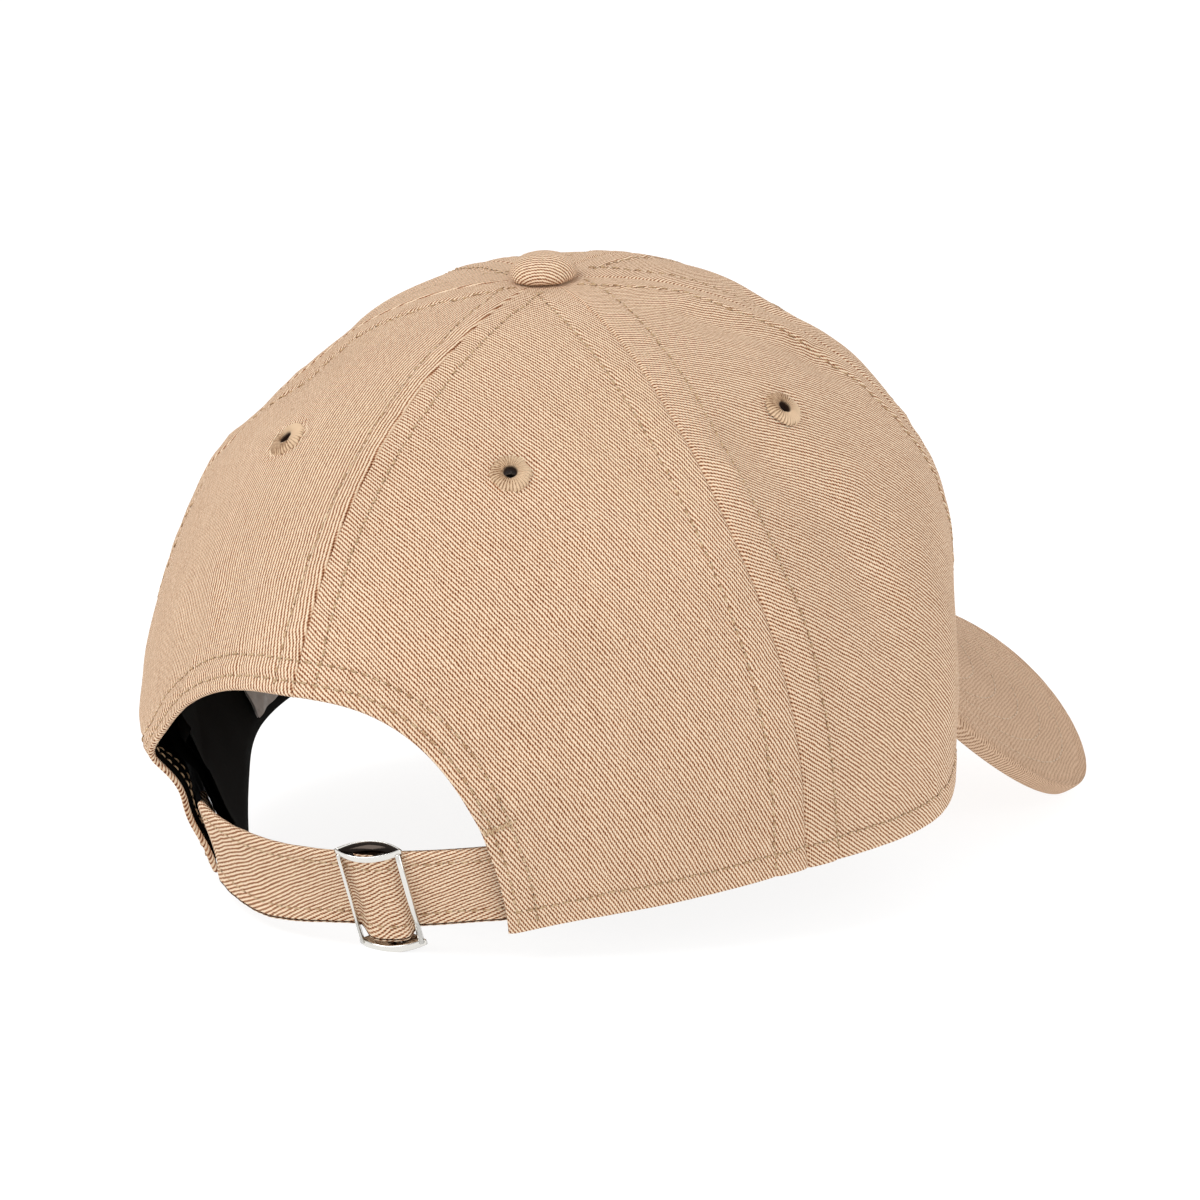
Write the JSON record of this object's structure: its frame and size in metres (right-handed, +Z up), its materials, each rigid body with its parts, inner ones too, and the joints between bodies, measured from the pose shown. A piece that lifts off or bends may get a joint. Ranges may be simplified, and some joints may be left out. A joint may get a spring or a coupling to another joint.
{
  "type": "baseball cap",
  "caption": "Beige cotton twill baseball cap with a curved brim, embroidered eyelets, a covered button, an arched back opening and a fabric strap with a metal slide buckle.",
  "frame": {"origin": "middle of the cap's footprint on the table, z = 0 at the table", "axes": "-Y towards the brim, +Y towards the back opening, -X towards the wearer's right, +Z up"},
  "size_m": [0.176, 0.2582, 0.1327],
  "materials": {
    "twill": "beige cotton twill with a clear diagonal rib",
    "strap_twill": "beige cotton twill, folded and top stitched",
    "eyelet_thread": "satin-stitched khaki thread",
    "black_tape": "matt black woven tape",
    "sweatband_cloth": "matt black cotton",
    "interlining": "white stiffening cloth",
    "label_cloth": "plain light grey woven label, blank",
    "brim_board_plastic": "white flexible sheet",
    "steel": "plain pressed steel",
    "nickel": "polished nickel plate"
  },
  "bodies": {
    "crown": {"panel_rear_right": "twill", "panel_side_right": "twill", "panel_front_right": "twill", "panel_front_left": "twill", "panel_side_left": "twill", "panel_rear_left": "twill", "eyelet_rear_right": "eyelet_thread", "eyelet_rear_left": "eyelet_thread", "eyelet_side_right": "eyelet_thread", "eyelet_side_left": "eyelet_thread", "eyelet_front_right": "eyelet_thread", "eyelet_front_left": "eyelet_thread", "seam_tape_back": "black_tape", "seam_tape_rear_right": "black_tape", "seam_tape_front_right": "black_tape", "seam_tape_front": "black_tape", "seam_tape_front_left": "black_tape", "seam_tape_rear_left": "black_tape", "arch_tape": "black_tape", "sweatband": "sweatband_cloth", "sweatband_interlining": "interlining", "blank_label": "label_cloth", "button_cover": "twill", "button_shell": "steel", "button_rivet": "steel", "button_back_plate": "steel", "strap_long": "strap_twill", "strap_tab": "strap_twill"},
    "brim": {"brim_board": "brim_board_plastic", "brim_cover_top": "twill", "brim_cover_under": "twill"},
    "buckle_bar": {"buckle_bar": "nickel"},
    "buckle_frame": {"buckle_frame": "nickel"}
  },
  "joints": [
    {"name": "brim_flex", "type": "hinge", "parent": "crown", "child": "brim", "pos_m": [0, -0.02705, 0.02757], "axis": [-1, 0, 0], "range_deg": [-12, 6], "stiffness_Nm_per_rad": 2, "deforming": ["panel_front_right", "panel_front_left", "panel_side_right", "panel_side_left", "sweatband"]},
    {"name": "buckle_slide", "type": "slide", "parent": "crown", "child": "buckle_bar", "axis": [-0.9532, -0.2863, 0.0976], "range_m": [-0.006, 0.008], "deforming": ["strap_long", "strap_tab"]},
    {"name": "buckle_tilt", "type": "hinge", "parent": "buckle_bar", "child": "buckle_frame", "pos_m": [-0.01802, 0.11792, 0.01338], "axis": [-0.0557, 0.4832, 0.8737], "range_deg": [-12, 12], "deforming": ["strap_long", "strap_tab"]}
  ]
}
